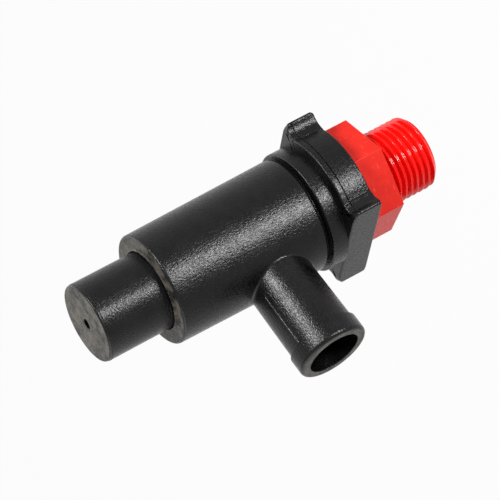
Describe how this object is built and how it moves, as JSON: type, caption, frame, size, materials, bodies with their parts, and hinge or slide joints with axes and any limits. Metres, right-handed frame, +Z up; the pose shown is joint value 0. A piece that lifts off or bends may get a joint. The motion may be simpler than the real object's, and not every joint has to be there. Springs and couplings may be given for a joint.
{
  "type": "safety valve",
  "caption": "Spring-loaded safety valve with a male threaded inlet below, a hose spigot at the side and a vented spring cap on top.",
  "frame": {"origin": "centre of the hexagon's lower face, the shoulder that seats on the vessel", "axes": "+Z up the valve's axis from the inlet thread to the spring cap, +X out along the hose spigot"},
  "size_m": [0.038, 0.0268, 0.0698],
  "materials": {
    "black_plastic": "glass-filled moulded plastic, matte with a faint fibre grain",
    "red_plastic": "moulded red plastic, matte hexagon and glossy thread",
    "white_plastic": "natural white acetal, satin",
    "black_rubber": "smooth moulded rubber",
    "stainless_steel": "drawn stainless steel"
  },
  "bodies": {
    "housing": {"inlet_fitting": "red_plastic", "fitting_o_ring": "black_rubber", "valve_base": "black_plastic", "body_gasket": "black_rubber", "valve_body": "black_plastic", "spring": "stainless_steel", "upper_spring_washer": "stainless_steel", "preload_shims": "stainless_steel", "spring_cap": "black_plastic", "cap_o_ring": "black_rubber"},
    "plunger": {"poppet": "white_plastic", "sealing_disc": "black_rubber", "disc_washer": "stainless_steel", "disc_screw": "stainless_steel", "piston_o_ring": "black_rubber", "lower_spring_washer": "stainless_steel"}
  },
  "joints": [
    {"name": "plunger_lift", "type": "slide", "parent": "housing", "child": "plunger", "axis": [0, 0, 1], "range_m": [0, 0.0024], "stiffness_N_per_m": 4000, "springref_m": -0.00735, "deforming": ["spring"]}
  ]
}
